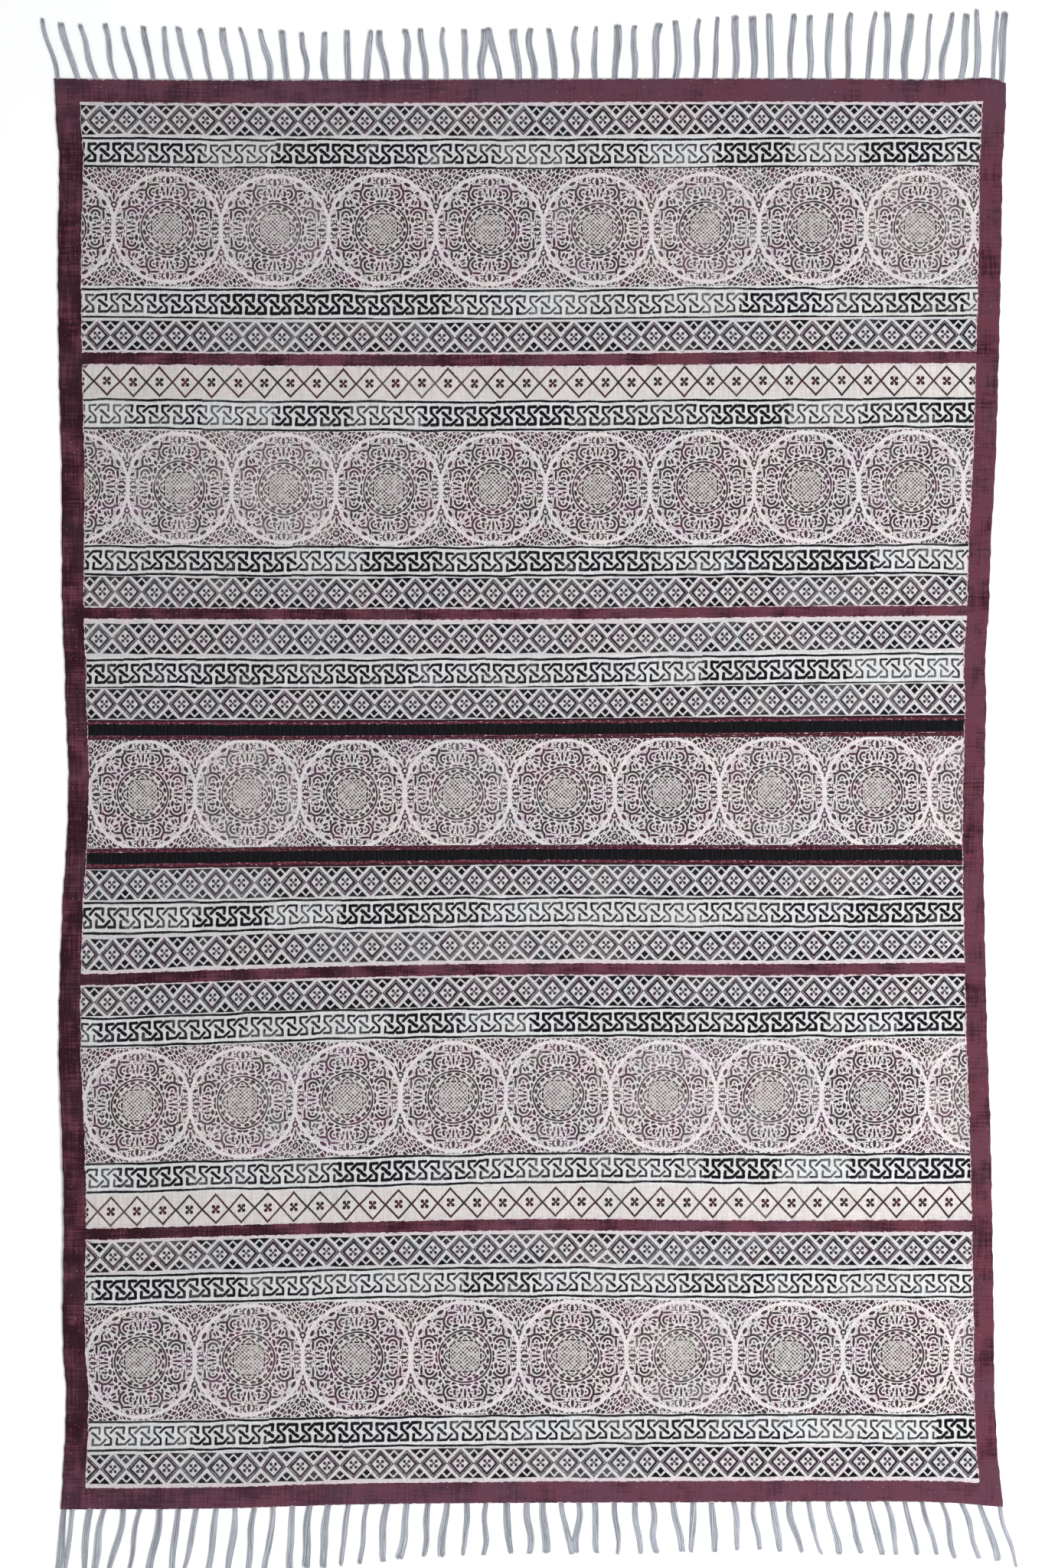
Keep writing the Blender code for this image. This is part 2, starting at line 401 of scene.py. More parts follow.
def sheet_rows(step):
    """Heights of the sheet's rows from foot to head, and the band of each strip between two.

    The bands' edges are rows, and the rows between are even, at most a step apart.  Two rows lie
    close to each end, so that the edge is rounded.
    """
    edges = np.append(column(BANDS, 1).astype(float), FOOT_LINE) * MM
    rounding = np.array((0.0009, 0.0028))
    rows, strips = [edges[-1]], []
    for band in range(len(BANDS) - 1, -1, -1):
        foot, head = edges[band + 1], edges[band]
        count = 2 * math.ceil((head - foot) / step / 2)
        inner = np.linspace(foot, head, count + 1)[1:]
        if band == len(BANDS) - 1:
            inner = np.append(foot + rounding, inner)
        if band == 0:
            inner = np.concatenate((inner[:-1], head - rounding[::-1], [head]))
        rows += list(inner)
        strips += [band] * len(inner)
    return np.array(rows), np.array(strips)


def sheet_columns(step):
    """Places across the sheet: 0 left border, 1 ground, 2 right border, and the share across it."""
    border = (0.0, 0.03, 0.095, 0.28, 0.52, 0.76)
    ground = np.linspace(0, 1, int(1.14 / step) + 1)
    zones = [0] * len(border) + [1] * len(ground) + [2] * len(border)
    shares = np.concatenate((border, ground, 1 - np.array(border)[::-1]))
    return np.array(zones), shares


def stray(x, y):
    """How far the printed line of nominal height y lies above that height, at each x.

    Across, a cubic through five stations.  Up, a smooth step from one row of STRAY to the next,
    the first and last standing on the cloth's own ends.
    """
    rows = STRAY[::-1]
    foot, head = FOOT_LINE * MM, BANDS[0][1] * MM
    stations = np.array([foot, *column(rows, 0), head])
    lines = np.stack([-end_edge(x, "foot") - foot,
                      *(smooth_through(x, STRAY_ACROSS, row[1:]) for row in rows),
                      end_edge(x, "head") - head])
    span = np.clip(np.searchsorted(stations, y, side="right") - 1, 0, len(stations) - 2)
    t = (y - stations[span]) / (stations[span + 1] - stations[span])
    t = (t * t * (3 - 2 * t))[:, None]
    here = np.arange(len(y))
    return lines[span, here] * (1 - t) + lines[span + 1, here] * t


def depth_in_plum(x, y, inner_left, inner_right):
    """Distance in millimetres to the nearest edge of the plum dye, positive inside the plum.

    The plum is the two side borders and the plum bands: of the distances into each, the largest.
    """
    depth = np.maximum(inner_left[:, None] - x, x - inner_right[:, None])
    feet = np.append(column(BANDS, 1)[1:].astype(float), FOOT_LINE) * MM
    for (kind, head, *_), foot in zip(BANDS, feet):
        if kind == "plum":
            depth = np.maximum(depth, np.minimum(y - foot, head * MM - y)[:, None])
    return depth / MM


def print_map(x, y, band, flat):
    """The Print map's two numbers for points at x, y of the given bands.

    On a printed face: x from a repeat's middle, stretched to the block's own repeat and moved on
    by a whole number of repeats for each band, and y from the figure's middle.  On a flat face:
    x and y themselves.
    """
    nominal = np.array([REPEAT.get(kind, 1.0) for kind, *_ in BANDS])
    spacing = np.where(column(BANDS, 3) > 0, column(BANDS, 3), nominal)
    run = nominal * np.ceil(BAND_RUN / nominal) * np.arange(1, len(BANDS) + 1)
    facing = np.where(np.isin(column(BANDS, 0), TURNED) & (column(BANDS, 2) < 0), -1.0, 1.0)
    across = (x / MM - column(BANDS, 4)[band]) * (nominal / spacing)[band] + run[band]
    up = (y / MM - column(BANDS, 2)[band]) * facing[band]
    return np.stack((np.where(flat, x / MM, across), np.where(flat, y / MM, up)), axis=-1)


def ring_quads(rows, columns):
    """Faces of a ring of columns, over the top and back under, that is carried up row by row:
    the walls, then those that close its foot end, then those that close its head end."""
    around = 2 * columns
    row, place = np.meshgrid(np.arange(rows - 1), np.arange(around), indexing="ij")
    here, beside = row * around + place, row * around + (place + 1) % around
    walls = np.stack((here, beside, beside + around, here + around), axis=2).reshape(-1, 4)
    c = np.arange(columns - 1)
    foot_cap = np.stack((c, around - 1 - c, around - 2 - c, c + 1), axis=1)
    head_cap = foot_cap[:, ::-1] + (rows - 1) * around
    return np.concatenate((walls, foot_cap, head_cap))


def face_slots(strips, zone, sheet_column):
    """Each face's material: its band's on the top of the ground, bare on the ground's underside,
    and plum on the borders and along every edge."""
    columns, around = len(zone), len(sheet_column)
    pair = np.minimum(np.minimum(sheet_column, np.roll(sheet_column, -1)), columns - 2)
    face_zone = np.where(zone[pair + 1] == 2, 2, zone[pair])
    on_side = np.isin(np.arange(around), (columns - 1, around - 1))
    kind_slot = np.array([SLOTS.index(kind) for kind, *_ in BANDS])
    plum, back = SLOTS.index("plum"), SLOTS.index("back")
    slots = np.broadcast_to(kind_slot[strips][:, None], (len(strips), around)).copy()
    slots[:, (face_zone != 1) | on_side] = plum
    under_side = np.arange(around) >= columns
    slots[:, under_side] = np.where(slots[:, under_side] == plum, plum, back)
    return np.concatenate((slots.ravel(), np.full(2 * (columns - 1), plum)))


def weave_cloth(sizes, materials):
    """The cloth: a flat ring of columns, carried up row by row and closed at both ends.

    Across a row a point lies at its share of the way between the edges of its border or ground.
    Its height is the swell and half the thickness, plus or minus half the thickness times a
    roundness that falls to a third at the selvedges and ends.
    """
    rows_y, strips = sheet_rows(sizes.grid_step)
    zone, share = sheet_columns(sizes.grid_step)
    left = selvedge(rows_y, "left") - edge_bumps(rows_y, 1.7)
    right = selvedge(rows_y, "right") + edge_bumps(rows_y, 4.1)
    edges = np.stack((left, left + at_side(BORDERS, rows_y, "left"),
                      right - at_side(BORDERS, rows_y, "right"), right), axis=1)
    x = edges[:, zone] * (1 - share) + edges[:, zone + 1] * share
    y = rows_y[:, None] + stray(x, rows_y)
    rows, columns = x.shape

    rim = (0.34, 0.80)
    roundness = np.ones((rows, columns))
    for at, part in enumerate(rim):
        roundness[[at, -1 - at], :] = np.minimum(roundness[[at, -1 - at], :], part)
        roundness[:, [at, -1 - at]] = np.minimum(roundness[:, [at, -1 - at]], part)
    half = (CLOTH_HIGH.z - CLOTH_LOW.z) / 2
    level = CLOTH_LOW.z + half + swells(x, y, sizes.unevenness)
    shift = middle_shift()
    top = np.stack((x + shift[0], y + shift[1], level + half * roundness), axis=2)
    under = np.stack((x + shift[0], y + shift[1], level - half * roundness), axis=2)
    ring = np.concatenate((top, under[:, ::-1]), axis=1)

    around = 2 * columns
    # The column of the sheet that each vertex of the ring belongs to.
    sheet_column = np.concatenate((np.arange(columns), np.arange(columns)[::-1]))
    quads = ring_quads(rows, columns)
    slots = face_slots(strips, zone, sheet_column)
    piece = mesh_piece("woven_cloth", ring.reshape(-1, 3), quads, materials, slots)
    corner_row, corner_column = quads // around, sheet_column[quads % around]
    band = np.concatenate((np.repeat(strips, around), np.full(2 * (columns - 1), 0)))
    flat = np.isin(slots, (SLOTS.index("plum"), SLOTS.index("back")))
    corners = print_map(x[corner_row, corner_column], rows_y[corner_row],
                        np.repeat(band[:, None], 4, axis=1), np.repeat(flat[:, None], 4, axis=1))
    add_map(piece.data, "Print", corners)
    depth = depth_in_plum(x, rows_y, edges[:, 1], edges[:, 2])
    add_number(piece.data, "plum_depth", depth[:, sheet_column])
    add_map(piece.data, "OFBake", bake_map(ring, quads, around, columns, rows))
    return piece


def bake_map(ring, quads, around, columns, rows):
    """A map that lays the top over nearly the whole square, the underside in a strip beside it,
    and the two ends' edges below and above the top."""
    places = ring[..., :2].reshape(-1, 2)[quads]
    low, high = ring[..., :2].min(axis=(0, 1)), ring[..., :2].max(axis=(0, 1))
    share = (places - low) / (high - low)
    face, walls = np.arange(len(quads)), (rows - 1) * around
    under = (face < walls) & (face % around >= columns - 1)
    foot = (face >= walls) & (face < walls + columns - 1)
    head = face >= walls + columns - 1
    column_share = np.where(quads % around < columns, quads % around, around - 1 - quads % around)
    across = 0.004 + 0.946 * share[..., 0]
    across[under] = 0.998 - 0.036 * (column_share[under] / (columns - 1))
    up = 0.010 + 0.980 * share[..., 1]
    is_under_corner = quads % around >= columns
    up[foot] = np.where(is_under_corner[foot], 0.001, 0.006)
    up[head] = np.where(is_under_corner[head], 0.999, 0.994)
    right_side = (face < walls) & (face % around == columns - 1)
    left_side = (face < walls) & (face % around == around - 1)
    across[right_side] = np.where(is_under_corner[right_side], 0.957, 0.953)
    across[left_side] = np.where(is_under_corner[left_side], 0.0005, 0.003)
    return np.stack((across, up), axis=-1)


# ------------------------------------------------------------------ the tassels

def tassel_roots(left, right):
    """Places of the tassels' roots along an end, from its left corner to its right corner."""
    number = np.arange(EVEN_TASSELS)
    drift = smooth_through(number, column(TASSEL_LIE, 0), column(TASSEL_LIE, 1))
    scatter = np.random.RandomState(TASSEL_SEED).uniform(-ROOT_SCATTER, ROOT_SCATTER, EVEN_TASSELS)
    scatter[[0, -1]] = 0
    closing = right - LAST_ROOT_INSET
    even = np.linspace(left + FIRST_ROOT_INSET, closing - LAST_PITCH, EVEN_TASSELS)
    return np.append(even + drift + scatter, closing)


def tassel_lie(count):
    """Sideways lean of each tip, and each tassel's length."""
    number = np.arange(count)
    scatter = np.random.RandomState(TASSEL_SEED + 1).uniform(-1, 1, (2, count))
    stations, _, leans, lengths = (column(TASSEL_LIE, index) for index in range(4))
    lean = smooth_through(number, stations, leans) + LEAN_SCATTER * scatter[0]
    length = smooth_through(number, stations, lengths) + LENGTH_SCATTER * scatter[1]
    lean[-1] = lean[-2]
    for first, own, neighbours in TIPS_TOGETHER:
        lean[first:first + 2] = own, neighbours
    return lean, length


def head_comb():
    """The head end's corners, left and right, and its edge as a function of x."""
    return corner_x("left", "head"), corner_x("right", "head"), lambda x: end_edge(x, "head")


def foot_comb():
    """The same for the foot end turned half round, so its left corner is the rug's right one."""
    return -corner_x("right", "foot"), -corner_x("left", "foot"), lambda x: end_edge(-x, "foot")


def yarn_lines(comb, turned, yarns, share, random):
    """Middle lines of a fringe's yarns: for each yarn, its place at each share of its length.

    A yarn leaves the cloth at the tassel's root, follows the tassel's lean, its bow and curl
    (half a sine and a whole one) and its hook (the fifth power of the share along it), and stays
    at its own place in the bundle's flattened round section.  The section opens from the root
    and turns slowly, and each yarn wavers by two sines of its own and ends a little short of the
    tassel's tip or beyond it.
    """
    left, right, end_line = comb
    roots = tassel_roots(left, right)
    tassels = len(roots)
    lean, length = tassel_lie(tassels)
    if turned:
        lean = lean + smooth_through(np.arange(tassels), column(FOOT_LEAN, 0), column(FOOT_LEAN, 1))
    shape = np.random.RandomState(TASSEL_SEED + 2)
    width = shape.uniform(0.75, 1.22, tassels)
    bow, curl = SWAY * shape.uniform(-1, 1, (2, tassels))
    flare, hook = shape.uniform(-0.35, 0.65, tassels), TIP_HOOK * shape.uniform(-1, 1, tassels)
    # Arrays run over tassels, then a tassel's yarns, then the places along a yarn.
    roots, lean, length, width, bow, curl, flare, hook = (
        values[:, None, None] for values in (roots, lean, length, width, bow, curl, flare, hook))

    ring = np.sqrt((np.arange(yarns) + 0.5) / yarns)[None, :, None]
    bearing = np.arange(yarns) * BEARING_STEP + random.uniform(-0.4, 0.4, (tassels, yarns))
    t = share[None, None, :]
    turn = random.uniform(-1, 1, (tassels, 1, 1)) * 1.6
    angle = bearing[:, :, None] + turn * t
    # The bundle opens from its root and closes a little before its tip.
    breadth = HALF_BREADTH + OPENING * np.sin(math.pi * np.clip(t * 1.15, 0, 1)) - 0.0002 * t**3
    breadth = breadth * width * (0.96 + flare * t**2)
    waver = random.uniform(-1, 1, (4, tassels, yarns, 1))
    waver = waver[0] * np.sin(5.3 * t + 3 * waver[1]) + waver[2] * np.sin(11.1 * t + 3 * waver[3])
    middle = roots + lean * t + bow * np.sin(math.pi * t) + hook * t**5 + curl * np.sin(2 * math.pi * t)
    x = middle + ring * np.cos(angle) * breadth + YARN_WAVER * waver * t**0.6
    reach = length * (1 + YARN_ENDS * random.uniform(-1, 1, (tassels, yarns, 1)))
    y = np.broadcast_to(end_line(roots) - TUCKED + (reach + TUCKED) * t, x.shape)
    level = (CLOTH_LOW.z + CLOTH_HIGH.z) / 2 - 0.0001
    z = level + ring * np.sin(angle) * (HALF_DEPTH - 0.0001 * t)
    return np.stack((x, y, z), axis=-1).reshape(-1, len(share), 3)


def yarn_tubes(lines, yarn_radius):
    """Points and quads of a thin tube round each middle line, closed at its root and its tip.

    Round each place of a line stand four corners at the yarn's radius, square to the line's
    heading there, and nearer to it at the tip.
    """
    heading = np.gradient(lines, axis=1)
    heading /= np.linalg.norm(heading, axis=2, keepdims=True)
    beside = np.cross(heading, (0.0, 0.0, 1.0))
    beside /= np.linalg.norm(beside, axis=2, keepdims=True)
    above = np.cross(beside, heading)
    tubes, places, _ = lines.shape
    sides = 4
    corner = (np.arange(sides) + 0.5) * 2 * math.pi / sides
    taper = np.ones(places)
    taper[-1] = 0.55
    radius = yarn_radius * taper[None, :, None, None]
    corner = corner[None, None, :, None]
    section = (beside[:, :, None, :] * np.cos(corner) + above[:, :, None, :] * np.sin(corner)) * radius

    i, j, k = np.meshgrid(np.arange(tubes), np.arange(places - 1), np.arange(sides), indexing="ij")
    start = i * places * sides
    a = start + j * sides + k
    b = start + j * sides + (k + 1) % sides
    walls = np.stack((a, b, b + sides, a + sides), axis=-1).reshape(-1, 4)
    first = np.arange(tubes)[:, None] * places * sides
    root_caps = first + np.array((3, 2, 1, 0))
    tip_caps = first + (places - 1) * sides + np.arange(sides)
    return lines[:, :, None, :] + section, np.concatenate((walls, root_caps, tip_caps))


def tie_fringe(name, comb, turned, sizes, material, seed):
    """A fringe: tassels of loose yarns lying on the floor, each yarn with a tone of its own."""
    random = np.random.RandomState(seed)
    share = np.linspace(0, 1, YARN_LENGTHS + 1) ** 0.9
    points, quads = yarn_tubes(yarn_lines(comb, turned, sizes.yarns, share, random), sizes.yarn_radius)
    points[..., 2] = np.maximum(points[..., 2], CLOTH_LOW.z)
    if turned:
        points[..., :2] *= -1
    points[..., :2] += middle_shift()
    piece = mesh_piece(name, points.reshape(-1, 3), quads, [material])
    tubes, places, sides, _ = points.shape
    add_number(piece.data, "yarn_tone", np.repeat(random.uniform(0, 1, tubes), places * sides))
    add_number(piece.data, "along_yarn", np.tile(np.repeat(share, sides), tubes))
    return piece


# ------------------------------------------------------------------ materials

def arithmetic(operation, reflected=False):
    """A method of Number that adds one Math node."""
    def method(self, other):
        return self.recipe.math(operation, *((other, self) if reflected else (self, other)))
    return method


class Number:
    """A number worked out by nodes.  Arithmetic on it adds Math nodes to its material."""

    def __init__(self, recipe, socket):
        self.recipe = recipe
        self.socket = socket

    __add__, __radd__ = arithmetic("ADD"), arithmetic("ADD", reflected=True)
    __sub__, __rsub__ = arithmetic("SUBTRACT"), arithmetic("SUBTRACT", reflected=True)
    __mul__, __rmul__ = arithmetic("MULTIPLY"), arithmetic("MULTIPLY", reflected=True)
    __truediv__, __rtruediv__ = arithmetic("DIVIDE"), arithmetic("DIVIDE", reflected=True)

    def __abs__(self):
        return self.recipe.math("ABSOLUTE", self)


class Recipe:
    """One material.  Its nodes are added in the order in which their values are worked out."""

    def __init__(self, name):
        self.material = bpy.data.materials.new(name)
        self.material.use_nodes = True
        self.tree = self.material.node_tree
        self.tree.nodes.clear()

    def node(self, kind, settings, values, output=0):
        """Adds a node, sets its settings, then its sockets' values or links; gives its outputs."""
        made = self.tree.nodes.new("ShaderNode" + kind)
        for name, setting in settings.items():
            setattr(made, name, setting)
        for name, value in values.items():
            if isinstance(value, Number):
                self.tree.links.new(value.socket, made.inputs[name])
            elif isinstance(value, bpy.types.NodeSocket):
                self.tree.links.new(value, made.inputs[name])
            else:
                made.inputs[name].default_value = value
        wanted = (output,) if isinstance(output, int) else output
        given = [made.outputs[index] for index in wanted if made.outputs]
        given = [Number(self, socket) if socket.type == "VALUE" else socket for socket in given]
        return given[0] if len(given) == 1 else given

    def math(self, operation, *values):
        return self.node("Math", {"operation": operation}, dict(enumerate(values)))

    def vector(self, operation, *values):
        output = 1 if operation in ("LENGTH", "DOT_PRODUCT") else 0
        return self.node("VectorMath", {"operation": operation}, dict(enumerate(values)), output)

    def smallest(self, values):
        return functools.reduce(functools.partial(self.math, "MINIMUM"), values)

    def largest(self, values):
        return functools.reduce(functools.partial(self.math, "MAXIMUM"), values)

    def ramp(self, value, low, high, at_low=0.0, at_high=1.0):
        """A smooth step: at_low up to low, at_high from high on."""
        return self.node("MapRange", {"interpolation_type": "SMOOTHSTEP"},
                         {"Value": value, "From Min": low, "From Max": high,
                          "To Min": at_low, "To Max": at_high})

    def inked(self, distance, softness=0.35):
        """1 inside a shape and 0 outside, from the distance to its outline."""
        return self.ramp(distance, -softness, softness, 1.0, 0.0)

    def noise(self, place, scale, detail=1.0, output=0):
        """A noise's value, or with output 1 its colour: three numbers that waver each by itself."""
        return self.node("TexNoise", {}, {"Vector": place, "Scale": scale, "Detail": detail}, output)

    def streaks(self, place, stretch, detail):
        """Noise of a place that is first multiplied by a factor of its own each way."""
        return self.noise(self.vector("MULTIPLY", place, stretch), 1.0, detail)

    def elsewhere(self, place, away, scale, detail):
        """Noise of a place that is first moved away, so that it differs from the other noises."""
        return self.noise(self.vector("ADD", place, (*away, 0.0)), scale, detail)

    def object_place(self):
        return self.node("TexCoord", {}, {}, 3)

    def print_place(self):
        return self.node("UVMap", {"uv_map": "Print"}, {})

    def attribute(self, name):
        return self.node("Attribute", {"attribute_name": name}, {}, 2)

    def distance(self, place, x, y):
        """Distance from a point."""
        return self.vector("LENGTH", self.vector("SUBTRACT", place, (x, y, 0.0)))

    def mix(self, share, first, second):
        return self.node("Mix", {"data_type": "RGBA"},
                         {0: share, 6: opaque(first), 7: opaque(second)}, 2)

    def scale(self, vector, factor):
        """A vector or a colour times a number."""
        return self.node("VectorMath", {"operation": "SCALE"}, {0: vector, "Scale": factor})

    def split(self, place):
        """The first two numbers of a vector."""
        return self.node("SeparateXYZ", {}, {"Vector": place}, (0, 1))

    def join(self, x, y):
        return self.node("CombineXYZ", {}, {"X": x, "Y": y})


def opaque(colour):
    """A colour with its fourth number, or the socket that gives it."""
    return colour if isinstance(colour, bpy.types.NodeSocket) else (*colour, 1.0)


def weave(recipe, sizes):
    """Height of the weave, 0 to 1, on the Object coordinates.

    The weft floats over the ribs as rows of short humps, each row half a rib on from the last:
    the sine across, with half a turn added on every other row, times the sine up, both without
    their signs.  A noise stretched along the weft makes some lengths of yarn thicker.
    """
    place = recipe.object_place()
    scaled = recipe.vector("MULTIPLY", place, (math.pi / sizes.rib_pitch, 1 / sizes.weft_pitch, 0.0))
    across, up = recipe.split(scaled)
    row = recipe.math("FLOOR", up)
    hump = abs(recipe.math("SINE", recipe.math("MULTIPLY_ADD", row, math.pi / 2, across)))
    rise = abs(recipe.math("SINE", up * math.pi))
    slub = recipe.streaks(scaled, (0.06, 0.8, 0.0), 1.0)
    return hump * rise * (slub + 0.5)


def cotton_surface(recipe, colour, sizes, roughness=0.92):
    """Finishes a cloth material: matt cotton of that colour with the weave's bump."""
    bump = recipe.node("Bump", {}, {"Strength": 0.55, "Distance": sizes.weave_relief,
                                    "Height": weave(recipe, sizes)})
    shader = recipe.node("BsdfPrincipled", {},
                         {"Base Color": colour, "Roughness": roughness, "Normal": bump,
                          "Specular IOR Level": 0.1, "Sheen Weight": 0.02, "Sheen Roughness": 0.6})
    recipe.node("OutputMaterial", {}, {"Surface": shader})
    return recipe.material


def ground(recipe, main, other, pink=(0.58, 0.50, 0.52)):
    """Colour of the unprinted cotton.

    Two tones of cotton in soft patches, pinker beside the plum where its dye has bled and plum
    where it has spilt over, and crossed by fine paler and darker lengths of weft and warp.  Painted
    light makes the cotton a little paler towards the right, as if it were lit from that side.
    """
    place = recipe.object_place()
    patch = recipe.ramp(recipe.noise(place, 9.0, 2.0), 0.38, 0.62)
    colour = recipe.mix(patch, main, other)
    depth = recipe.attribute("plum_depth")
    colour = recipe.mix(recipe.ramp(depth, -8.0, 0.0, 0.0, 0.7), colour, pink)
    weft = recipe.streaks(place, (60.0, 700.0, 0.0), 2.0)
    warp = recipe.streaks(place, (450.0, 40.0, 0.0), 1.0)
    tone = recipe.ramp(weft + warp, 0.75, 1.25, 0.88, 1.09)
    # Painted light: the cotton is darker at the left and paler towards the right, as if it were lit from
    # the right.
    tone = tone * recipe.ramp(recipe.split(place)[0], -0.55, 0.55, 0.91, 1.05)
    colour = recipe.scale(colour, tone)
    spill = recipe.streaks(place, (130.0, 160.0, 0.0), 3.0)
    return recipe.mix(recipe.ramp(depth + spill * 6.0, 3.1, 3.7, 0.0, 0.9), colour, (0.085, 0.024, 0.038))


def block_place(recipe, block):
    """Where a point of the cloth falls on the printing block, in millimetres.

    The Print map, moved by up to half a millimetre for each block's placing and stirred by a
    slow and a quick noise, because the cloth gives under the block.  Also a random number for
    each block, its ink's strength.
    """
    place = recipe.print_place()
    number = recipe.math("FLOOR", recipe.split(place)[0] / block + 0.5)
    laid = recipe.node("TexWhiteNoise", {"noise_dimensions": "1D"}, {"W": number}, 1)
    strength = recipe.node("TexWhiteNoise", {"noise_dimensions": "1D"}, {"W": number + 0.37}, 0)
    place = recipe.vector("MULTIPLY_ADD", laid, (0.9, 1.1, 0.0), place)
    slow = recipe.noise(place, 0.03, 0.0, 1)
    place = recipe.vector("MULTIPLY_ADD", slow, (2.4, 3.0, 0.0), place)
    quick = recipe.noise(place, 0.45, 1.0, 1)
    place = recipe.vector("MULTIPLY_ADD", quick, (0.9, 0.9, 0.0), place)
    # The noises average a half, which would carry the figure off its middle.
    return recipe.vector("SUBTRACT", place, (2.1, 2.5, 0.0)), strength


def folded_place(recipe, kind, repeats):
    """A place on a block of so many repeats, and its ink's strength; then the same place folded
    into a quarter of one repeat: its distance across from the nearest middle, and up or down."""
    place, strength = block_place(recipe, repeats * REPEAT[kind])
    u, v = recipe.split(place)
    return place, strength, recipe.math("PINGPONG", u, REPEAT[kind] / 2), abs(v)


def small_flower(recipe, across, up, x, y, dot, arm):
    """Four dots round the arms of a small slanting cross, in a folded place: where a dot's middle
    lies, its radius, and half an arm's width."""
    dots = recipe.distance(recipe.join(across, up), x, y) - dot
    arms = recipe.largest([abs(across - up) * 0.7 - arm, across - 3.4])
    return recipe.inked(recipe.smallest([dots, arms]), 0.4)


def coverage(recipe, place, strength, low, high):
    """How well the ink has taken, 0 to 1: mottled, and thinner in a weakly inked block."""
    mottle = recipe.streaks(place, (0.55, 0.75, 0.0), 3.0)
    patch = recipe.noise(place, 0.035, 1.0)
    taken = mottle * 1.1 + patch * 0.9 + strength * 0.35
    return recipe.ramp(taken, 0.80, 1.22, low, high)


def leaf(recipe, place, x0, y0, x1, y1, half_width):
    """Distance from the middle of a leaf that runs between two points, 1 on its outline.

    The place is moved, turned and scaled so that the leaf becomes a unit circle.
    """
    half_length = math.dist((x0, y0), (x1, y1)) / 2 + 0.45 * half_width
    return recipe.vector("LENGTH", recipe.node(
        "Mapping", {"vector_type": "TEXTURE"},
        {"Vector": place, "Location": ((x0 + x1) / 2, (y0 + y1) / 2, 0.0),
         "Rotation": (0.0, 0.0, math.atan2(y1 - y0, x1 - x0)),
         "Scale": (max(half_length, half_width), half_width, 1.0)}))


def stroke(recipe, place, start, stop):
    """Distance in millimetres from a straight line between two points.

    The place from start is projected on the line, clamped to its ends, and what is left is
    measured.
    """
    run = (stop[0] - start[0], stop[1] - start[1])
    square = run[0] ** 2 + run[1] ** 2
    off = recipe.vector("SUBTRACT", place, (start[0], start[1], 0.0))
    along = recipe.vector("DOT_PRODUCT", off, (run[0] / square, run[1] / square, 0.0))
    along = recipe.node("Clamp", {}, {"Value": along})
    return recipe.vector("LENGTH", recipe.vector("MULTIPLY_ADD", along, (-run[0], -run[1], 0.0), off))


def arc(recipe, place, x, y, radius, half_width, facing, cut):
    """Distance from the middle of a round stroke, 1 on its outline.

    How far the distance from the centre differs from the radius, as a share of the half-width,
    and no less than how far the place lies behind the cutting line.
    """
    off = recipe.vector("SUBTRACT", place, (x, y, 0.0))
    band = abs(recipe.vector("LENGTH", off) - radius) / half_width
    turn = math.radians(facing)
    ahead = recipe.vector("DOT_PRODUCT", off, (math.cos(turn), math.sin(turn), 0.0))
    behind = recipe.math("MULTIPLY_ADD", ahead, -1.0, cut + 1.0)
    return recipe.math("MAXIMUM", band, behind)


def cells(recipe, place, scale, turn):
    """Small dark cells with cotton between, nearly twice as long as they are wide.

    They are the cells of a Voronoi pattern, shrunk by the distance from their edges; the place
    is first turned, and halved along the cells' length.
    """
    turned = recipe.node("Mapping", {"vector_type": "TEXTURE"},
                         {"Vector": place, "Rotation": (0.0, 0.0, math.radians(turn)),
                          "Scale": (1.0, 1.8, 1.0)})
    edge = recipe.node("TexVoronoi", {"feature": "DISTANCE_TO_EDGE", "voronoi_dimensions": "2D"},
                       {"Vector": turned, "Scale": scale})
    return recipe.ramp(edge, 0.09, 0.18)


def plum_cloth(sizes, colours):
    """The borders and stripes: streaky plum dye, redder at the left side.  Painted shade makes the plum
    deeper at the left, and painted light makes it paler towards the right.

    Noises stretched along the warp and along the weft streak the dye, a slow one fades it in
    patches, and cotton shows at its ragged edges and in a few missed specks.
    """
    recipe = Recipe("plum_cotton")
    place = recipe.object_place()
    across, up = recipe.split(place)
    warp = recipe.streaks(place, (420.0, 22.0, 0.0), 2.0)
    weft = recipe.streaks(place, (30.0, 380.0, 0.0), 2.0)
    patch = recipe.noise(place, 26.0, 3.0)
    # Painted light: the plum grows paler towards the right and stays deep at the left, as if it were lit
    # from the right.
    side = recipe.ramp(across, -0.56, 0.30, 0.0, 0.33)
    ends = recipe.ramp(abs(up + 0.02), 0.80, 0.90, 0.0, 0.14)
    fade_and_painted_light = warp + weft + patch * 1.6 + side + ends
    colour = recipe.mix(recipe.ramp(fade_and_painted_light, 1.62, 2.30), colours.deep_plum, colours.plum)
    blue = recipe.elsewhere(place, (3.0, 5.0), 14.0, 2.0)
    blue = recipe.ramp(blue, 0.42, 0.66, 0.0, 0.30) * recipe.ramp(across, -0.62, 0.10, 0.5, 1.0)
    blue = blue + recipe.ramp(abs(up), 0.80, 0.90, 0.0, 0.28)
    colour = recipe.mix(blue, colour, (0.085, 0.045, 0.072))
    depth = recipe.attribute("plum_depth")
    rag = recipe.streaks(place, (170.0, 200.0, 0.0), 3.0)
    bare = recipe.ramp(depth - rag * 4.0, -1.75, -1.15, 0.85, 0.0)
    speck = recipe.streaks(place, (520.0, 330.0, 0.0), 1.0)
    bare = recipe.largest([bare, recipe.ramp(speck, 0.70, 0.80, 0.0, 0.35)])
    colour = recipe.mix(bare, colour, colours.cotton)
    return cotton_surface(recipe, colour, sizes)


